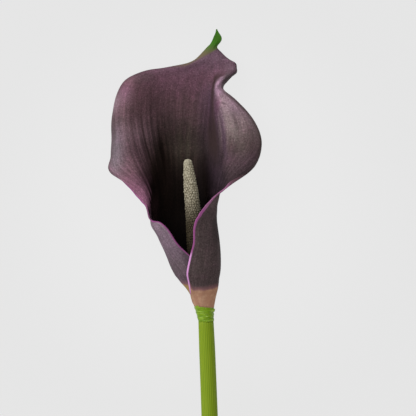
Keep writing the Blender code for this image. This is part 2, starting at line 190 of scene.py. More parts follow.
SPADIX_FOOT, SPADIX_TIP = (-0.9, 8.35, 0.2), (-7.5, 66.1, -3.0)
SPADIX_RADII = (2.5, 3.3, 3.6, 3.6, 3.4, 3.0, 2.0)
SPADIX_BOW, SPADIX_BOW_END = 1.3, 0.65
BOW_PEAK = 6.75  # makes b (1 - b)^2 reach 1
SPADIX_AROUND, SPADIX_RINGS = 190, 420
FLORET_PITCH, FLORET_HEIGHT = 1.3, 0.45
FLORET_ROW = 0.86  # from one ring of florets to the next, in pitches
FLORET_SCATTER = 0.28, 0.26  # round the spadix and along it, in pitches
FLORET_CROWN, FLORET_SINK = 0.55, 0.62

TAPE_LENGTH, TAPE_INNER = 6.0, 2.95
TAPE_TOP, TAPE_FOOT = 4.75, 3.7
TAPE_SET = 0.5  # how far its upper end lies to the left
TAPE_OVER, TAPE_UNDER = 0.65, 0.75  # how far the wrapping goes on past its length, above and below
TAPE_TURN, TAPE_STEP = 2.1, 0.22
TAPE_LAP = 0.86  # the share of a turn over which its face sinks to the next edge
TAPE_TAB_ANGLE, TAPE_TAB_WIDTH, TAPE_TAB_HEIGHT = 288, 0.22, 0.5
TAPE_AROUND, TAPE_OUTSIDE, TAPE_INSIDE = 180, 72, 7
TAPE_ROUNDED = 3  # rows at each end over which its face comes up

STEM_STATIONS = (
    (-8.0, 1.7), (-7.6, 2.05), (0.9, 2.05), (1.1, 2.65), (6.2, 2.65), (6.4, 3.4), (8.0, 3.46),
    (20, 3.62), (60, 3.72), (115, 3.72), (175, 3.72), (234.7, 3.72), (235.0, 3.5),
)  # fmt: skip
STEM_END = 235.0
STEM_RINGS = np.concatenate([np.arange(8.0, 234.0, 1.5), np.linspace(234.0, STEM_END, 6)])
CUT_FACE = (
    # the share of the rind's radius, and how far it is sunk
    (0.97, -0.02), (0.93, 0.05), (0.85, 0.09), (0.7, 0.12), (0.5, 0.13), (0.3, 0.15), (0.1, 0.16), (0.01, 0.16),
)  # fmt: skip
RIBS, RIB_DEPTH = 26, 0.03
STEM_AROUND = 260


def spline(points, at):
    """Points at the places `at`, counted in points, on the natural cubic spline through them."""
    p = np.asarray(points, float)
    count = len(p)
    matrix = np.eye(count)
    right = np.zeros_like(p)
    for i in range(1, count - 1):
        matrix[i, i - 1 : i + 2] = (1, 4, 1)
        right[i] = 6 * (p[i - 1] - 2 * p[i] + p[i + 1])
    bend = np.linalg.solve(matrix, right.reshape(count, -1)).reshape(p.shape)
    low = np.clip(np.asarray(at, int), 0, count - 2)
    b = (np.asarray(at, float) - low).reshape((-1,) + (1,) * (p.ndim - 1))
    a = 1 - b
    return a * p[low] + b * p[low + 1] + ((a**3 - a) * bend[low] + (b**3 - b) * bend[low + 1]) / 6


def smooth(low, high, value):
    """0 below low, 1 above high, and a soft step between them."""
    t = np.clip((np.asarray(value, float) - low) / (high - low), 0, 1)
    return t * t * (3 - 2 * t)


def waves(seed, *places, count=6, low=1.0, high=2.0):
    """A soft, seeded, uneven field over the places: a sum of waves, about -1 to 1."""
    random = np.random.default_rng(seed)
    total = np.zeros(np.broadcast(*places).shape)
    for _ in range(count):
        turns = random.normal(size=len(places))
        turns *= random.uniform(low, high) / np.linalg.norm(turns)
        phase = random.uniform(0, 2 * math.pi)
        total += np.sin(sum(2 * math.pi * t * p for t, p in zip(turns, places)) + phase)
    return total / math.sqrt(count * 1.2)


def ramp(value, stops):
    """A colour for each value, on straight lines between stops of (value, colour)."""
    at = [stop for stop, _ in stops]
    return np.stack([np.interp(value, at, [colour[k] for _, colour in stops]) for k in range(3)], -1)


def spot(x, y, centre, reach, turn=0.0):
    """A soft oval patch in the drawing's plane, 1 in its middle. The turn is in degrees."""
    c, s = math.cos(math.radians(turn)), math.sin(math.radians(turn))
    dx, dy = x - centre[0], y - centre[1]
    return np.exp(-(((dx * c + dy * s) / reach[0]) ** 2) - ((dy * c - dx * s) / reach[1]) ** 2)


def over(colour, share, other):
    """The colour with a share of another laid over it."""
    share = np.clip(share, 0, 1)[..., None]
    return colour * (1 - share) + np.asarray(other) * share


def lit(colour, share, tint=(1, 1, 1)):
    """The colour made brighter by a share, or darker where it is below 0. The tint weighs red, green and blue."""
    return colour * (1 + share[..., None] * np.asarray(tint))


def lean(x, z):
    """How far a cross-section of the stem, the tape or the foot leans along y."""
    return 0.048 * x - 0.086 * z


def tape_top(angle):
    """The tape's slanting upper end, and so the height of the spathe's foot."""
    return -0.7 + 0.65 * np.cos(angle - math.radians(65))


def stem_axis(down):
    """The middle of the slightly bent stem, at distances below the joint."""
    down = np.asarray(down, float)
    return np.stack([0.6 + 0.042 * down - 0.00006 * down**2, -down, -0.0863 * down + 0.00002 * down**2], -1)


# ---- meshes ----


def shell(name, rings, fields, closed=False, replaces=None):
    """A closed body from an array of rings by points by three, in the drawing's millimetres.

    Its first and last rings are closed by strips of faces, or joined to each other. Fields are numbers
    for each point, which the materials read by name.
    """
    rows, around = rings.shape[:2]
    index = np.arange(rows * around).reshape(rows, around)
    lower, upper = (index, np.roll(index, -1, 0)) if closed else (index[:-1], index[1:])
    faces = np.stack([lower, np.roll(lower, -1, 1), np.roll(upper, -1, 1), upper], -1).reshape(-1, 4)
    v = np.concatenate([[0], np.cumsum(np.linalg.norm(np.diff(rings, axis=0), axis=2).mean(1))])
    if closed:
        v = np.append(v, v[-1] * (1 + 1 / rows))
    v /= v[-1]
    u = np.arange(around + 1) / around
    corners = [(u[:-1], v[:-1]), (u[1:], v[:-1]), (u[1:], v[1:]), (u[:-1], v[1:])]
    uv = np.stack([np.stack(np.meshgrid(cu, cv), -1).reshape(-1, 2) for cu, cv in corners], 1)
    if not closed:
        a = np.arange(around // 2)
        zipped = np.stack([a, a + 1, around - 1 - a, (around - a) % around], -1)
        for ring, level in ((index[0], 0.0), (index[-1], 1.0)):
            order = zipped[:, ::-1] if level == 0 else zipped
            faces = np.concatenate([faces, ring[order]])
            uv = np.concatenate([uv, np.stack([u[order], np.full(order.shape, level)], -1)])
    mesh = bpy.data.meshes.new(name)
    keep = [[k for k in range(4) if face[k] != face[k - 1]] for face in faces]
    mesh.from_pydata(
        ((rings.reshape(-1, 3) - ORIGIN) * MM).tolist(), [], [face[k].tolist() for face, k in zip(faces, keep)]
    )
    layer = mesh.uv_layers.new(name="OFBake")
    layer.uv.foreach_set("vector", np.concatenate([p[k] for p, k in zip(uv, keep)]).astype(np.float32).ravel())
    for key, values in fields.items():
        attribute = mesh.attributes.new(key, "FLOAT", "POINT")
        attribute.data.foreach_set("value", np.ascontiguousarray(values, np.float32).ravel())
    mesh.shade_smooth()
    mesh.validate()
    piece = bpy.data.objects.new(name, mesh)
    bpy.context.scene.collection.objects.link(piece)
    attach(piece, "root")
    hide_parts(replaces)
    return piece


def guide_rows():
    """The spathe's guide rows: round ones up the tube, and placed ones where it opens."""
    rows = []
    for i, (x, y, first, last, start, end) in enumerate((FOOT,) + TUBE):
        row = []
        for k in range(LAST_COLUMN + 1):
            angle = math.radians(start + (end - start) * k / LAST_COLUMN)
            radius = first + (last - first) * k / LAST_COLUMN
            px, pz = x - radius * math.sin(angle), radius * math.cos(angle)
            row.append((px, y + (lean(px, pz) + tape_top(angle) + SEAT_GAP if i == 0 else 0), pz))
        rows.append(row)
    return np.array(rows + [list(row) for row in OPEN])


def inner_paint(x, y, place, column):
    """The inner face's colour: near black in the throat, partly its own colour and partly painted shade, purple up the
    wall, with painted highlights and a painted sheen on the lobes.

    Each line lays a colour, or a lighter or darker patch, over those before it, so their order counts.
    """

    def patch(centre, reach, turn=0.0):
        return spot(x, y, centre, reach, turn)

    wobble = waves(41, column * 2.6, place * 0.10, count=9, low=0.6, high=1.6)
    streaks = waves(44, column * 1.1, place * 0.03, count=12, low=1.5, high=4.0)
    drift = waves(42, x * 0.045, y * 0.045, count=8, low=0.6, high=1.6)

    # the wall and the throat, darker downwards; a near black strip right of the spadix; and the dark fan of streaks on
    # its left, partly painted shade where the wall turns from the light
    colour = ramp(y + 1.2 * wobble, WALL_AND_THROAT_SHADE)
    colour = lit(colour, smooth(-6, 4, x) * smooth(103, 93, y), (-0.08, -0.12, 0.14))
    colour = over(colour, 0.85 * patch((6.5, 62.0), (4.5, 13.0)), (0.040, 0.026, 0.035))
    colour = over(colour, 0.75 * patch((0.6, 55.0), (1.6, 16.0), 3.0), (0.008, 0.005, 0.004))
    # painted shade where the left wall faces away from the light, broken by dark streaks
    fan = spot(x + 0.9 * wobble, y, (-17.5, 61.0), (4.6, 22.0), 9.0)
    colour = over(colour, fan * (0.85 + 0.3 * streaks), (0.009, 0.005, 0.004))
    colour = over(colour, 0.55 * patch((-9.0, 74.0), (5.0, 9.0)) * (0.7 + 0.5 * streaks), (0.040, 0.034, 0.024))
    colour = over(colour, 0.8 * patch((-22.6, 43.5), (1.9, 6.0)), (0.022, 0.011, 0.012))

    # the left lobe, with a pale grey painted sheen near its left margin
    edge = np.interp(y, *LEFT_EDGE)
    wide = np.interp(y, (44, 50, 54, 58, 75, 100), (0.35, 0.5, 1.6, 3.6, 6.5, 8.0))
    lobe = smooth(1.0, -1.2, (x - edge + 0.7 * wobble) / wide)
    colour = over(colour, lobe * smooth(106, 98, y), ramp(y, LEFT_LOBE))
    # painted sheen: a pale grey patch near the left margin
    colour = over(colour, 0.85 * patch((-40.0, 70.0), (3.8, 12.0)), (0.18, 0.145, 0.17))
    colour = over(colour, 0.7 * patch((-36.0, 93.5), (3.2, 6.0), -20.0), (0.165, 0.092, 0.122))
    colour = lit(colour, 0.45 * patch((-30.0, 76.0), (3.6, 8.5)))
    colour = lit(colour, -0.33 * patch((-29.5, 59.0), (3.0, 4.6), 35.0))
    colour = over(colour, 0.8 * patch((-39.8, 91.5), (1.6, 5.0), -12.0), (0.33, 0.22, 0.27))
    colour = over(colour, 0.55 * patch((-28.0, 103.0), (4.5, 3.0)), (0.085, 0.060, 0.062))
    colour = lit(colour, 0.22 * patch((-34.5, 101.0), (3.4, 2.6), -40.0))
    colour = lit(colour, 0.28 * patch((-39.5, 62.5), (3.0, 4.0)))
    colour = lit(colour, 0.14 * patch((-32.0, 54.0), (4.0, 3.4)))

    # the right lobe, brighter upwards, with a purple strip along the wall, a pale wedge that is a painted highlight,
    # and a fold between them with a painted highlight on its crest
    edge = np.interp(y, *RIGHT_EDGE)
    wide = np.interp(y, (55, 72, 80, 94, 97), (3.0, 1.6, 1.2, 1.2, 0.5))
    lobe = smooth(-1.0, 1.0, (x - edge + 0.15 * wobble) / wide) * smooth(104.5, 103.0, y)
    colour = over(colour, lobe, ramp(y, RIGHT_LOBE))
    # a lilac painted highlight where the lobe faces the light
    colour = lit(colour, lobe * patch((11.7, 89.5), (3.6, 4.0)), (0.10, 0.05, 0.17))
    strip = lobe * np.exp(-(((x - edge - 1.3) / 1.1) ** 2)) * smooth(62, 70, y) * smooth(93, 86, y)
    colour = over(colour, 0.8 * strip, (0.098, 0.058, 0.085))
    # painted highlight: the pale wedge where the lobe faces the light
    colour = over(colour, 0.6 * lobe * patch((12.6, 80.5), (2.0, 9.0), 20.0), (0.26, 0.205, 0.20))
    colour = over(colour, 0.6 * lobe * patch((16.5, 72.0), (3.6, 4.5)), (0.120, 0.088, 0.083))
    colour = over(colour, 0.6 * lobe * patch((17.0, 87.0), (1.8, 6.0), 45.0), (0.235, 0.16, 0.19))
    colour = over(colour, 0.7 * lobe * patch((14.4, 82.6), (0.42, 3.7), 22.0), (0.11, 0.07, 0.08))
    fold = x - np.interp(y, *FOLD_LINE)
    near = lobe * smooth(69.0, 73.0, y) * smooth(90.0, 86.5, y)
    colour = over(colour, 0.5 * near * smooth(-2.2, -1.2, fold) * smooth(0.1, -0.3, fold), (0.090, 0.052, 0.078))
    # a painted highlight along the fold's crest
    colour = lit(colour, 0.22 * near * np.exp(-(((fold - 0.3) / 0.32) ** 2)))

    # the crest that runs up into the notch, its pink partly a painted highlight, and the valley on its left
    colour = over(colour, (1 - lobe) * 0.6 * patch((2.5, 95.0), (4.0, 7.0)), (0.072, 0.043, 0.053))
    crest = lobe * smooth(92.5, 97, y) * smooth(9.5, 7.5, x)
    colour = over(colour, 0.85 * crest, (0.34, 0.205, 0.29))
    # painted highlights at the top of the pale wedge and on the lobe under the notch
    colour = over(colour, 0.75 * lobe * patch((9.9, 91.0), (2.2, 5.0), 16.0), (0.335, 0.235, 0.265))
    colour = lit(colour, 0.5 * lobe * patch((7.0, 98.0), (1.3, 2.4)))
    colour = lit(colour, -0.38 * patch((9.2, 67.5), (1.8, 6.5)))
    colour = lit(colour, -0.20 * lobe * patch((21.0, 79.0), (2.2, 4.0)))
    colour = lit(colour, 0.9 * patch((3.4, 50.8), (2.0, 2.2)))

    # painted shade: the dark band in the notch, under the upper right lap, where the sheet turns from the light
    band = smooth(-0.5, 0.4, x - np.interp(y, *NOTCH_LINE))
    band = band * smooth(97.0, 98.4, y) * smooth(105.5, 103.6, y - 0.12 * (x - 9.0))
    colour = over(colour, 0.95 * band, (0.115, 0.081, 0.093))
    colour = over(colour, 0.5 * patch((13.0, 106.5), (4.0, 2.6)) * (1 - band), (0.125, 0.087, 0.106))
    colour = over(colour, 0.8 * patch((8.6, 91.2), (0.35, 2.0), 72.0), (0.09, 0.05, 0.068))

    # last touches, lighter and darker patches: painted highlights on the crest, then patches over its valley, the wall
    # and the lobes
    colour = lit(colour, 0.60 * patch((6.5, 100.3), (0.75, 1.7), -35.0))
    colour = lit(colour, 0.35 * patch((8.0, 98.0), (1.1, 0.9)))
    colour = lit(colour, patch((3.0, 92.0), (0.8, 6.0)), (0.03, 0.06, 0.16))
    colour = lit(colour, -0.22 * patch((4.0, 90.5), (0.45, 3.5)))
    colour = lit(colour, -patch((6.4, 90.5), (1.0, 4.0)), (0.08, 0.30, 0.12))
    colour = lit(colour, -0.16 * patch((-11.5, 83.5), (7.0, 5.0)))
    colour = lit(colour, -0.16 * patch((-4.0, 103.0), (6.0, 4.0)))
    colour = lit(colour, -0.26 * patch((-41.2, 79.0), (2.0, 4.0)))
    colour = lit(colour, -0.40 * patch((5.0, 96.4), (1.1, 2.4)))
    colour = lit(colour, 0.24 * lobe * patch((13.0, 92.0), (2.2, 2.4)))
    colour = lit(colour, 0.28 * patch((0.9, 112.5), (4.0, 2.4)))
    colour = lit(colour, 0.22 * lobe * patch((19.8, 86.2), (3.4, 2.4), -45.0))
    colour = lit(colour, -0.20 * patch((7.5, 108.5), (6.0, 2.6)))
    # a painted pink highlight on the upper left lobe's edge
    colour = lit(colour, patch((-36.0, 97.4), (2.6, 3.0)), (0.42, 0.30, 0.48))
    colour = lit(colour, 0.24 * patch((-32.6, 102.2), (2.6, 2.0)))
    colour = lit(colour, 0.28 * patch((-32.8, 80.5), (2.6, 4.5)))
    colour = lit(colour, 0.22 * patch((-8.5, 92.8), (8.5, 3.4)))
    colour = lit(colour, 0.24 * patch((-36.2, 57.0), (2.4, 2.4)))
    colour = lit(colour, -0.24 * patch((-28.6, 55.2), (2.4, 2.6)))
    colour = lit(colour, 0.60 * patch((-3.6, 61.5), (1.2, 5.0)))
    return lit(colour, 0.10 * drift + 0.10 * streaks * smooth(100, 85, y))


def outer_paint(x, y, place, column):
    """The outer face's colour: paler on the left front panel, partly a painted sheen, and on the lobes' backs, dark on
    the right.
    """

    def patch(centre, reach, turn=0.0):
        return spot(x, y, centre, reach, turn)

    drift = waves(43, x * 0.05, y * 0.05, count=8, low=0.6, high=1.6)
    left_panel = smooth(2.6, 2.0, column)
    colour = ramp(y, LEFT_PANEL)
    colour = over(colour, smooth(2.6, 4.4, column), (0.076, 0.054, 0.055))
    colour = over(colour, smooth(8.0, 11.0, place), (0.115, 0.078, 0.098))
    colour = lit(colour, -0.45 * patch((5.8, 35.0), (2.2, 6.5)))
    colour = lit(colour, -0.16 * patch((1.0, 31.5), (2.0, 8.0)))
    colour = lit(colour, 0.30 * patch((4.0, 46.5), (2.6, 3.0)))
    colour = lit(colour, 0.22 * patch((-20.5, 37.0), (4.0, 3.0)) * left_panel)
    colour = lit(colour, -0.42 * patch((-7.2, 20.5), (1.6, 7.5), 22.0) * left_panel)
    return lit(colour, 0.10 * drift)


def nudged(middle, places, across):
    """The sheet with its small local moves at the rims, the outline, the notch and the upper right lap."""
    for place, column, reach_along, reach_across, move in NUDGES:
        along_share = np.exp(-(((places - place) / reach_along) ** 2))
        across_share = np.exp(-(((across - column) / reach_across) ** 2))
        middle = middle + np.outer(along_share, across_share)[..., None] * np.array(move)
    return middle


def build_spathe():
    """The rolled sheet, with a rounded rim, raised veins and a few soft pleats."""
    places = [0.0]
    for band, steps in enumerate(BANDS):
        count = steps * FINER
        places += [band + (k + 1) / count for k in range(count)]
    places = np.array(places)
    across = np.linspace(0, LAST_COLUMN, COLUMNS + 1)
    middle = spline(spline(guide_rows(), places).transpose(1, 0, 2), across).transpose(1, 0, 2)
    middle = nudged(middle, places, across)
    tip = smooth(17.3, 18.0, places)[:, None]
    middle += 0.6 * tip[..., None] * (middle.mean(1, keepdims=True) - middle)
    half = HALF_SHEET * (1 - 0.6 * tip)
    along_step = np.gradient(middle, axis=0)
    across_step = np.gradient(middle, axis=1)
    normal = np.cross(across_step, along_step)
    normal /= np.linalg.norm(normal, axis=2, keepdims=True)
    step = np.linalg.norm(np.diff(middle, axis=1), axis=2)
    reach = np.concatenate([np.zeros((len(places), 1)), np.cumsum(step, axis=1)], axis=1)
    edge = np.minimum(reach, reach[:, -1:] - reach)  # how far a point is from the nearer margin
    place, column = np.meshgrid(places, across, indexing="ij")

    fade = smooth(0.3, 4.0, edge) * smooth(2.0, 5.0, place) * (1 - smooth(14.5, 16.0, place))
    vein = np.sin(2 * math.pi * (column * VEINS + 0.25 * waves(3, column * 0.3, place * 0.05)))
    vein = np.clip(vein, -0.2, 1) * (0.6 + 0.4 * waves(4, column * 0.8, place * 0.1))
    uneven = waves(5, column * 0.35, place * 0.16)
    relief = (fade * (VEIN_HEIGHT * vein + PLEAT_HEIGHT * uneven))[..., None]
    inner = middle + normal * (half[..., None] + relief)
    outer = middle - normal * (half[..., None] - relief)

    def rim(side):
        """Points round the sheet's edge, from its inner to its outer face."""
        out = -across_step[:, 0] if side == 0 else across_step[:, -1]
        out = out / np.linalg.norm(out, axis=1, keepdims=True)
        at, up = middle[:, side], normal[:, side]
        turns = [math.pi * (k + 1) / (RIM_POINTS + 1) for k in range(RIM_POINTS)]
        return np.stack([at + half * (up * math.cos(t) + 0.8 * out * math.sin(t)) for t in turns], 1)

    left, right = rim(0), rim(-1)
    # each ring starts and ends in the middle of the left rim
    rings = np.concatenate([left[:, 1::-1], inner, right, outer[:, ::-1], left[:, 2:]], axis=1)

    def field(sheet, outer_sheet=None, rim_value=None):
        """A field over the rings from one over the sheet. The rim takes its margin's values, or one value."""
        first, last = sheet[:, :1], sheet[:, -1:]
        if rim_value is not None:
            first, last = np.full_like(first, rim_value), np.full_like(last, rim_value)
        back = sheet if outer_sheet is None else outer_sheet
        return np.concatenate([first, first, sheet, last, last, last, back[:, ::-1], first], axis=1)

    x, y = middle[..., 0], middle[..., 1]
    paint, back_paint = inner_paint(x, y, place, column), outer_paint(x, y, place, column)
    right_side = column > BACK_COLUMN
    # painted shade where the sheet stands on edge, turned away from the light
    edge_on_shade = smooth(0.70, 0.35, np.abs(normal[..., 2])) * smooth(8.5, 10.0, place)
    edge_on_shade = edge_on_shade * (1 - 0.9 * spot(x, y, (9.5, 98.5), (3.0, 4.0)))
    edge_on_shade = edge_on_shade * (1 - 0.65 * spot(x, y, (3.0, 88.0), (1.4, 11.0)))
    edge_on_shade = np.where(right_side, edge_on_shade, 0.5 * edge_on_shade)
    # how strongly the rim's colour shows, its brown partly painted shade, and how wide it is
    left_hem = 1 - 0.7 * smooth(10.2, 11.0, place)
    left_hem = left_hem - 0.65 * smooth(6.7, 7.1, place) * smooth(8.5, 8.0, place) - 0.25 * smooth(6.8, 6.4, place)
    hem = np.where(right_side, 1 - 0.65 * smooth(15.2, 15.8, place), left_hem)
    lip = np.where(right_side, smooth(9.6, 10.4, place) * smooth(14.0, 13.2, place), 0.0)
    band = np.interp(place, *BAND_WIDTH)
    # the rim's colours: pink, then duller on the rolled stretch, dusky above it and lilac at the foot
    pink = np.where(right_side, smooth(9.9, 9.0, place), smooth(9.9, 9.2, place))
    rolled = smooth(6.9, 7.5, place) * smooth(9.3, 8.6, place)
    lilac = smooth(4.0, 9.0, y) * smooth(25.0, 22.5, y) * smooth(7, 5, place)
    fields = {
        "across": field(column),
        "along": field(place),
        "height": field(y),
        "left": field(x),
        "margin": field(edge, None, 0.0),
        "inside": field(np.ones_like(edge), np.zeros_like(edge), 0.5),
        "edge_on_shade": field(edge_on_shade),
        "hem": field(hem),
        "lip": field(lip),
        "fan": field(spot(x, y, (-22.5, 70.0), (7.0, 15.0), 16.0)),
        "band": field(np.where(right_side, band, -0.2)),
        "pink": field(pink),
        "rolled": field(np.where(right_side, rolled, 0.0)),
        "dusk": field(np.where(right_side, smooth(8.5, 9.1, place), 0.0)),
        "lilac": field(np.where(right_side, lilac, 0.0)),
    }
    for k, key in enumerate(("red", "green", "blue")):
        fields[key] = field(paint[..., k], back_paint[..., k])
    return shell("visual_spathe", rings, fields, replaces="spathe")


def build_spadix():
    """The spadix, packed with small uneven florets."""
    foot, tip = np.array(SPADIX_FOOT), np.array(SPADIX_TIP)
    axis = (tip - foot) / np.linalg.norm(tip - foot)
    side = np.cross((0.0, 0.0, 1.0), axis)
    side /= np.linalg.norm(side)
    front = np.cross(axis, side)
    end = SPADIX_RADII[-1]
    straight = math.dist(SPADIX_FOOT, SPADIX_TIP) - end

    def surface(along, angle):
        """Points and their outward directions at distances along the outline and at angles."""
        along, angle = np.broadcast_arrays(np.asarray(along, float), np.asarray(angle, float))
        turn = np.clip((along - straight) / end, 0, math.pi / 2)
        at = np.clip(along, 0, straight) / straight * (len(SPADIX_RADII) - 1)
        radius = spline(np.array(SPADIX_RADII)[:, None], at.ravel()).reshape(at.shape)
        radius = np.where(turn > 0, end * np.cos(turn), radius)
        reach = np.where(turn > 0, straight + end * np.sin(turn), along)
        out = side * np.cos(angle)[..., None] + front * np.sin(angle)[..., None]
        bend = np.clip(reach / (straight + end) / SPADIX_BOW_END, 0, 1)
        bow = SPADIX_BOW * BOW_PEAK * bend * (1 - bend) ** 2
        points = foot + axis * reach[..., None] + out * radius[..., None] - np.stack([bow, 0 * bow, 0 * bow], -1)
        normal = out * np.cos(turn)[..., None] + axis * np.sin(turn)[..., None]
        return points, normal

    outline = straight + end * math.pi / 2
    random = np.random.default_rng(11)
    centres = []
    steps = round(outline / (FLORET_PITCH * FLORET_ROW))
    turn_scatter, shift_scatter = FLORET_SCATTER
    for k in range(steps + 1):
        along = outline * k / steps
        reach = surface(along, 0.0)[0] - foot
        radius = np.linalg.norm(reach - axis * np.dot(reach, axis))
        count = max(1, round(2 * math.pi * radius / FLORET_PITCH))
        for j in range(count):
            angle = 2 * math.pi * (j + 0.5 * (k % 2) + random.uniform(-turn_scatter, turn_scatter)) / count
            shift = random.uniform(-shift_scatter, shift_scatter) * FLORET_PITCH
            centres.append((surface(min(max(along + shift, 0), outline), angle)[0], random.uniform(0.5, 1.0)))
    tree = KDTree(len(centres))
    for k, (centre, _) in enumerate(centres):
        tree.insert(centre, k)
    tree.balance()

    along = np.linspace(0, outline - 0.02, SPADIX_RINGS + 1)[:, None]
    angle = np.linspace(0, 2 * math.pi, SPADIX_AROUND, endpoint=False)[None, :]
    points, normal = surface(along, angle)
    flat = points.reshape(-1, 3)
    height, crown = np.empty(len(flat)), np.empty(len(flat))
    for k, point in enumerate(flat):
        (_, first, near), (_, _, next_near) = tree.find_n(point, 2)
        crown[k] = min(1.0, max(0.0, (next_near - near) / (FLORET_CROWN * FLORET_PITCH)))
        height[k] = centres[first][1] * math.sqrt(crown[k]) - FLORET_SINK
    height = height.reshape(points.shape[:2])
    crown = crown.reshape(points.shape[:2])
    dents = waves(12, points[..., 0] * 0.12, points[..., 1] * 0.12, points[..., 2] * 0.12)
    rings = points + normal * (FLORET_HEIGHT * height + 0.06 * dents)[..., None]
    fields = {"crown": crown, "along": np.broadcast_to(along, crown.shape) / outline}
    return shell("visual_spadix", rings, fields, replaces="spadix")


def build_tape():
    """Wound tape: each turn's edge steps in to the one below, its face is creased, and one end stands up."""
    angle = np.linspace(0, 2 * math.pi, TAPE_AROUND, endpoint=False)[None, :]
    share = np.linspace(0, 1, TAPE_OUTSIDE + 1)[:, None]
    ragged = waves(21, np.cos(angle), np.sin(angle), low=0.4, high=0.9)
    top = -tape_top(angle) - TAPE_OVER + 0.18 * ragged
    end = TAPE_LENGTH + TAPE_UNDER + 0.15 * ragged
    down = top + (end - top) * share
    turn = (down / TAPE_TURN - angle / (2 * math.pi)) % 1.0
    sink = np.where(turn < TAPE_LAP, turn / TAPE_LAP, (1 - turn) / (1 - TAPE_LAP))
    radius = TAPE_TOP + (TAPE_FOOT - TAPE_TOP) * np.clip(down / TAPE_LENGTH, 0, 1) ** 0.7
    ends = np.minimum(1, np.minimum(share, 1 - share) * (TAPE_OUTSIDE / TAPE_ROUNDED))
    crease = waves(22, np.cos(angle) * 1.2 + down * 0.25, np.sin(angle) * 1.2, down * 0.5, count=9, low=0.7, high=1.6)
    radius = radius - ends * (TAPE_STEP * sink - 0.05 * crease) - 0.12 * (1 - ends)
    tab = np.exp(-(((angle - math.radians(TAPE_TAB_ANGLE)) / TAPE_TAB_WIDTH) ** 4))
    radius = radius + TAPE_TAB_HEIGHT * (tab * smooth(1.0, 1.5, down) * (1 - smooth(2.55, 2.75, down)))
    inside = np.linspace(1, 0, TAPE_INSIDE)[:, None]
    rows_down = np.concatenate([down, top + (end - top) * inside], 0)
    rows_radius = np.concatenate([radius, np.full((TAPE_INSIDE, TAPE_AROUND), TAPE_INNER)], 0)
    centre = stem_axis(rows_down)
    x, z = -rows_radius * np.sin(angle), rows_radius * np.cos(angle)
    centre[..., 0] -= TAPE_SET * (1 - rows_down / TAPE_LENGTH) * (rows_radius > TAPE_INNER)
    rings = centre + np.stack([x, lean(x, z), z], -1)
    fields = {"around": np.ones_like(rows_down) * angle / (2 * math.pi), "down": rows_down}
    return shell("visual_tape", rings, fields, closed=True, replaces="tape")


def build_stem():
    """The ribbed stem, to its cut end, whose pith sits a little below the rind."""
    stations = np.array(STEM_STATIONS)
    down = np.unique(np.concatenate([stations[:, 0], STEM_RINGS]))
    radius = np.interp(down, stations[:, 0], stations[:, 1])
    angle = np.linspace(0, 2 * math.pi, STEM_AROUND, endpoint=False)[None, :]
    sway = 0.12 * waves(31, np.cos(angle), np.sin(angle), down[:, None] * 0.02, low=0.3, high=0.8)
    rib = 0.5 + 0.5 * np.cos(RIBS * angle + sway)
    strength = 0.75 + 0.25 * waves(32, np.cos(angle) * 1.5, np.sin(angle) * 1.5, down[:, None] * 0.01)
    shaped = radius[:, None] * (1 - RIB_DEPTH * strength * (1 - rib**0.7))
    uneven = 0.03 * waves(33, np.cos(angle), np.sin(angle), down[:, None] * 0.03, low=0.4, high=1.0)
    outside = shaped + uneven
    centre = stem_axis(down)[:, None, :]
    x, z = -outside * np.sin(angle), outside * np.cos(angle)
    rings = centre + np.stack([x, lean(x, z), z], -1)
    # the cut face: rings drawn in to the middle
    last = rings[-1:]
    middle = last.mean(1, keepdims=True)
    cut = [middle + (last - middle) * share + np.array((0, sunk, 0)) for share, sunk in CUT_FACE]
    rings = np.concatenate([rings] + cut)
    everywhere = np.ones(rings.shape[:2])
    is_cut = np.arange(len(rings)) >= len(down)
    drawn_in = np.concatenate([np.ones(len(down)), [share for share, _ in CUT_FACE]])
    fields = {
        "down": np.append(down, np.full(len(cut), STEM_END))[:, None] * everywhere,
        "around": everywhere * angle / (2 * math.pi),
        "rib": np.concatenate([rib, np.repeat(rib[-1:], len(cut), 0)]),
        "cut": is_cut[:, None] * everywhere,
        "radial": drawn_in[:, None] * everywhere,
    }
    return shell("visual_stem", rings, fields, replaces="stem")


# ---- materials ----


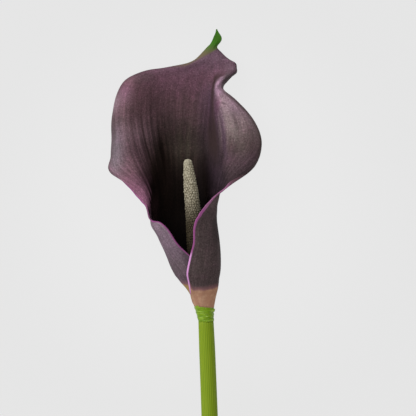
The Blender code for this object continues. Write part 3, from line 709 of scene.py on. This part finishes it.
class Nodes:
    """A short way to write a material's nodes: a method adds one or two and returns the last one's output."""

    def __init__(self, name):
        self.material = bpy.data.materials.new(name)
        self.material.use_nodes = True
        self.tree = self.material.node_tree
        self.shader = self.tree.nodes["Principled BSDF"]

    def put(self, socket, value):
        if isinstance(value, bpy.types.NodeSocket):
            self.tree.links.new(value, socket)
        elif socket.type == "RGBA" and len(value) == 3:
            socket.default_value = (*value, 1.0)
        else:
            socket.default_value = value

    def add(self, kind, *values, out=0, **settings):
        node = self.tree.nodes.new(kind)
        for key, value in settings.items():
            setattr(node, key, value)
        for socket, value in zip(node.inputs, values):
            self.put(socket, value)
        return node.outputs[out]

    def attribute(self, name):
        return self.add("ShaderNodeAttribute", attribute_name=name, out=2)

    def math(self, operation, *values):
        return self.add("ShaderNodeMath", *values, operation=operation)

    def times(self, first, second):
        return self.math("MULTIPLY", first, second)

    def plus(self, first, second):
        return self.math("ADD", first, second)

    def scaled(self, value, low, high, new_low=0.0, new_high=1.0):
        """The value on a soft step, from new_low at low to new_high at high."""
        return self.add("ShaderNodeMapRange", value, low, high, new_low, new_high, interpolation_type="SMOOTHSTEP")

    def vector(self, x, y, z):
        return self.add("ShaderNodeCombineXYZ", x, y, z)

    def noise(self, vector, scale, detail=2.0, roughness=0.5):
        node = self.tree.nodes.new("ShaderNodeTexNoise")
        for name, value in (("Vector", vector), ("Scale", scale), ("Detail", detail), ("Roughness", roughness)):
            self.put(node.inputs[name], value)
        return node.outputs["Fac"]

    def mix(self, share, first, second, blend="MIX"):
        node = self.tree.nodes.new("ShaderNodeMix")
        node.data_type = "RGBA"
        node.blend_type = blend
        for socket, value in ((node.inputs[0], share), (node.inputs[6], first), (node.inputs[7], second)):
            self.put(socket, value)
        return node.outputs[2]

    def tinted(self, share, colour, factor):
        """The colour, multiplied by a factor for each channel where the share is 1."""
        return self.mix(share, colour, self.mix(1.0, colour, factor, "MULTIPLY"))

    def object_place(self):
        return self.add("ShaderNodeTexCoord", out=3)

    def bump(self, height, depth_mm, strength):
        node = self.tree.nodes.new("ShaderNodeBump")
        for name, value in (("Strength", strength), ("Distance", depth_mm * MM), ("Height", height)):
            self.put(node.inputs[name], value)
        return node.outputs[0]

    def finish(self, colour, roughness, normal, **sockets):
        self.put(self.shader.inputs["Base Color"], colour)
        self.put(self.shader.inputs["Roughness"], roughness)
        self.put(self.shader.inputs["Normal"], normal)
        for name, value in sockets.items():
            self.put(self.shader.inputs[name.replace("_", " ")], value)
        return self.material


def spathe_material():
    n = Nodes("spathe_skin")
    across, along = n.attribute("across"), n.attribute("along")
    inside, margin = n.attribute("inside"), n.attribute("margin")
    height, left = n.attribute("height"), n.attribute("left")
    place = n.object_place()
    colour = n.add("ShaderNodeCombineColor", n.attribute("red"), n.attribute("green"), n.attribute("blue"))

    # fine veins along the sheet, stronger in the fan of the left lobe, and a speckled grain
    flow = n.vector(n.times(across, 4.0), n.times(along, 0.10), n.times(inside, 5.0))
    veins = n.noise(flow, 2.4, 3.0, 0.6)
    fine_veins = n.noise(flow, 7.5, 2.0, 0.6)
    grain = n.noise(place, 1500.0, 3.0, 0.7)
    clouds = n.noise(place, 45.0, 2.0, 0.5)
    blotches = n.noise(place, 330.0, 3.0, 0.6)
    veined, fan = n.scaled(height, 106.0, 84.0, 0.15, 0.6), n.attribute("fan")
    colour = n.tinted(n.times(n.scaled(veins, 0.35, 0.7), veined), colour, (0.55, 0.55, 0.52))
    colour = n.tinted(n.times(n.scaled(fine_veins, 0.5, 0.7), n.times(veined, 0.7)), colour, (1.6, 1.45, 1.5))
    colour = n.tinted(n.times(n.scaled(veins, 0.50, 0.62), fan), colour, (0.50, 0.47, 0.45))
    colour = n.tinted(n.times(n.scaled(veins, 0.50, 0.38), fan), colour, (1.55, 1.5, 1.5))
    colour = n.tinted(n.scaled(blotches, 0.5, 0.75), colour, (1.18, 1.09, 1.17))
    colour = n.tinted(n.scaled(blotches, 0.5, 0.3), colour, (0.84, 0.87, 0.84))
    colour = n.tinted(n.times(n.scaled(grain, 0.5, 0.75), 0.9), colour, (1.75, 1.8, 1.75))
    colour = n.tinted(n.times(n.scaled(grain, 0.5, 0.25), 0.9), colour, (0.5, 0.42, 0.45))
    # painted shade where the sheet stands on edge
    colour = n.mix(n.times(n.attribute("edge_on_shade"), 0.75), colour, (0.045, 0.028, 0.026))

    # the tan foot: yellower and lower bordered on the far left, paler and a little higher on the right
    lift = n.plus(n.scaled(left, -4.6, -7.2, 0.0, 2.6), n.scaled(left, 0.5, 4.5, 0.0, 0.8))
    ragged = n.plus(n.times(clouds, 1.2), n.times(blotches, 1.6))
    level = n.math("SUBTRACT", n.plus(height, ragged), lift)
    tan = n.mix(n.scaled(n.noise(place, 420.0, 3.0), 0.4, 0.65), (0.315, 0.168, 0.108), (0.385, 0.228, 0.148))
    tan = n.mix(n.times(n.scaled(fine_veins, 0.5, 0.68), 0.55), tan, (0.225, 0.120, 0.082))
    tan = n.tinted(n.scaled(left, -0.5, 2.5), tan, (1.24, 1.22, 1.18))
    tan = n.mix(n.scaled(left, -5.0, -6.5), tan, (0.30, 0.195, 0.075))
    foot = n.mix(n.scaled(level, 9.4, 8.2), (0.20, 0.095, 0.10), tan)
    colour = n.mix(n.scaled(level, 11.2, 8.6), colour, foot)

    # the cut rim: pink below, and brown above, partly painted shade where the edge turns from the light
    width = n.plus(n.attribute("band"), n.times(clouds, 0.25))
    width = n.plus(width, n.times(n.attribute("lip"), 0.25))
    rim = n.times(n.scaled(n.math("SUBTRACT", margin, width), 0.45, 0.1), n.scaled(height, 4.5, 6.5))
    rim = n.times(rim, n.attribute("hem"))
    tint = n.mix(n.attribute("rolled"), (0.27, 0.075, 0.21), (0.27, 0.105, 0.205))
    tint = n.mix(n.attribute("dusk"), tint, (0.135, 0.068, 0.088))
    tint = n.mix(n.attribute("lilac"), tint, (0.62, 0.29, 0.58))
    colour = n.mix(rim, colour, n.mix(n.attribute("pink"), (0.030, 0.018, 0.016), tint))

    # the green point, on a slanting border
    slant = n.plus(height, n.times(left, -0.57))
    green = n.scaled(n.plus(slant, n.times(clouds, 0.8)), 112.4, 113.8)
    green = n.times(green, n.scaled(along, 14.3, 15.0))
    leaf = n.mix(n.scaled(height, 113.0, 119.0), (0.13, 0.10, 0.06), (0.045, 0.14, 0.013))
    colour = n.mix(green, colour, leaf)
    lumps = n.plus(n.times(grain, 0.7), n.times(fine_veins, 0.4))
    return n.finish(colour, 0.65, n.bump(lumps, 0.10, 0.7), Specular_IOR_Level=0.04)


def spadix_material():
    n = Nodes("spadix_florets")
    place = n.object_place()
    crown, along = n.attribute("crown"), n.attribute("along")
    # painted shade in the pits between pale crowns, with grains and stains on them
    pit_shade = n.mix(n.scaled(along, 0.70, 0.95), (0.050, 0.038, 0.018), (0.17, 0.15, 0.10))
    tone = n.mix(n.scaled(crown, 0.05, 0.6), pit_shade, (0.32, 0.285, 0.205))
    tone = n.mix(n.times(n.scaled(n.noise(place, 900.0), 0.45, 0.7), 0.6), tone, (0.50, 0.46, 0.35))
    tone = n.mix(n.times(n.scaled(n.noise(place, 500.0, 3.0), 0.5, 0.35), 0.4), tone, (0.12, 0.10, 0.06))
    # smoother and paler at the tip, and painted shade down in the throat
    tone = n.mix(n.scaled(along, 0.92, 0.985, 0.0, 0.75), tone, (0.42, 0.385, 0.29))
    tone = n.tinted(n.scaled(along, 0.76, 0.46, 0.0, 0.94), tone, (0.11, 0.085, 0.05))
    return n.finish(tone, 0.75, n.bump(n.noise(place, 2600.0), 0.06, 0.5), Specular_IOR_Level=0.15)


def tape_material():
    n = Nodes("tape_wrap")
    place = n.object_place()
    down, around = n.attribute("down"), n.attribute("around")
    # stretched streaks along the winding, the palest of them painted highlights, and painted shade of a deeper green
    # in the folds
    streaks = n.noise(n.vector(n.times(around, 3.0), n.times(down, 1.3), 0.0), 2.2, 3.0, 0.6)
    colour = n.mix(n.scaled(streaks, 0.35, 0.65), (0.110, 0.220, 0.002), (0.220, 0.350, 0.012))
    colour = n.mix(n.times(n.scaled(streaks, 0.56, 0.68), 0.75), colour, (0.42, 0.55, 0.17))
    fold = n.noise(n.vector(n.times(around, 1.6), n.times(down, 0.75), 4.0), 1.0)
    colour = n.mix(n.times(n.scaled(fold, 0.5, 0.62), 0.7), colour, (0.105, 0.205, 0.0015))
    return n.finish(colour, 0.38, n.bump(n.noise(place, 1200.0), 0.05, 0.5), Specular_IOR_Level=0.2)


def stem_material():
    n = Nodes("stem_rind")
    place = n.object_place()
    down, around, rib = n.attribute("down"), n.attribute("around"), n.attribute("rib")
    # the rind: painted shade of a deeper green between the ribs, with pale streaks down the stem
    streak = n.noise(n.vector(n.times(around, 26.0), n.times(down, 0.05), 0.0), 2.0, 3.0)
    colour = n.mix(n.scaled(rib, 0.1, 0.9), (0.128, 0.212, 0.002), (0.186, 0.267, 0.005))
    colour = n.mix(n.times(n.scaled(streak, 0.4, 0.7), 0.35), colour, (0.245, 0.305, 0.016))
    # the cut end: a speckled pith in a green ring
    pith = n.mix(n.scaled(n.noise(place, 1800.0), 0.5, 0.62), (0.42, 0.50, 0.22), (0.20, 0.28, 0.07))
    pith = n.mix(n.scaled(n.attribute("radial"), 0.90, 0.96), pith, (0.16, 0.26, 0.03))
    colour = n.mix(n.attribute("cut"), colour, pith)
    return n.finish(colour, 0.6, n.bump(n.noise(place, 900.0), 0.05, 0.4), Specular_IOR_Level=0.2)


# ---- the scene ----


def dress(piece, material):
    piece.data.materials.clear()
    piece.data.materials.append(material)


def build_stage(centre):
    """A pale floor that mostly glows, in a painted pool of light round the flower, soft light from the upper left, and
    a camera that looks straight down.
    """
    bpy.ops.mesh.primitive_plane_add(size=FLOOR_SIZE, location=(centre[0], centre[1], -FLOOR_DROP))
    floor = bpy.context.object
    floor.name = "floor"
    n = Nodes("floor_paper")
    reach = n.add("ShaderNodeVectorMath", n.object_place(), FLOOR_MIDDLE, operation="DISTANCE", out=1)
    # the paper glows, brightest round the flower: a painted pool of light that shows almost no shadow
    glow = n.add("ShaderNodeEmission", n.mix(n.scaled(reach, *FLOOR_FADE), FLOOR_BRIGHT, FLOOR_DULL), 1.0)
    paper = n.add("ShaderNodeBsdfDiffuse", FLOOR_PAPER)
    both = n.add("ShaderNodeMixShader", FLOOR_SHADED, glow, paper)
    n.put(n.tree.nodes["Material Output"].inputs["Surface"], both)
    dress(floor, n.material)

    world = bpy.data.worlds.new("studio")
    bpy.context.scene.world = world
    world.use_nodes = True
    tree = world.node_tree
    direction = tree.nodes.new("ShaderNodeTexCoord").outputs["Generated"]
    facing = tree.nodes.new("ShaderNodeVectorMath")
    facing.operation = "DOT_PRODUCT"
    facing.inputs[1].default_value = LIGHT_FROM
    tree.links.new(direction, facing.inputs[0])
    strength = tree.nodes.new("ShaderNodeMapRange")
    for socket, value in zip(strength.inputs[1:5], (*SKY_FACING, SKY_DARK, SKY_BRIGHT)):
        socket.default_value = value
    tree.links.new(facing.outputs["Value"], strength.inputs[0])
    tree.links.new(strength.outputs[0], tree.nodes["Background"].inputs["Strength"])
    tree.nodes["Background"].inputs["Color"].default_value = (1.0, 1.0, 1.0, 1.0)

    lamp = bpy.data.lights.new("window", "AREA")
    lamp.energy = WINDOW_POWER
    lamp.size = WINDOW_SIZE
    window = bpy.data.objects.new("window", lamp)
    bpy.context.scene.collection.objects.link(window)
    window.location = (centre[0] + WINDOW_OFFSET[0], centre[1] + WINDOW_OFFSET[1], WINDOW_OFFSET[2])
    aim = window.location - floor.location
    window.rotation_euler = aim.to_track_quat("Z", "Y").to_euler()

    camera = bpy.data.cameras.new("camera")
    camera.lens = LENS
    camera.sensor_width = SENSOR_WIDTH
    camera.clip_start, camera.clip_end = 0.01, 20.0
    view = bpy.data.objects.new("camera", camera)
    view.location = (centre[0], centre[1], FOCUS_HEIGHT + CAMERA_REACH)
    bpy.context.scene.collection.objects.link(view)
    bpy.context.scene.camera = view
    bpy.context.scene.view_settings.view_transform = "Standard"


def main():
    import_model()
    build_stage(VIEW_CENTRE)
    dress(build_spathe(), spathe_material())
    dress(build_spadix(), spadix_material())
    dress(build_tape(), tape_material())
    dress(build_stem(), stem_material())
    bpy.context.view_layer.update()


main()
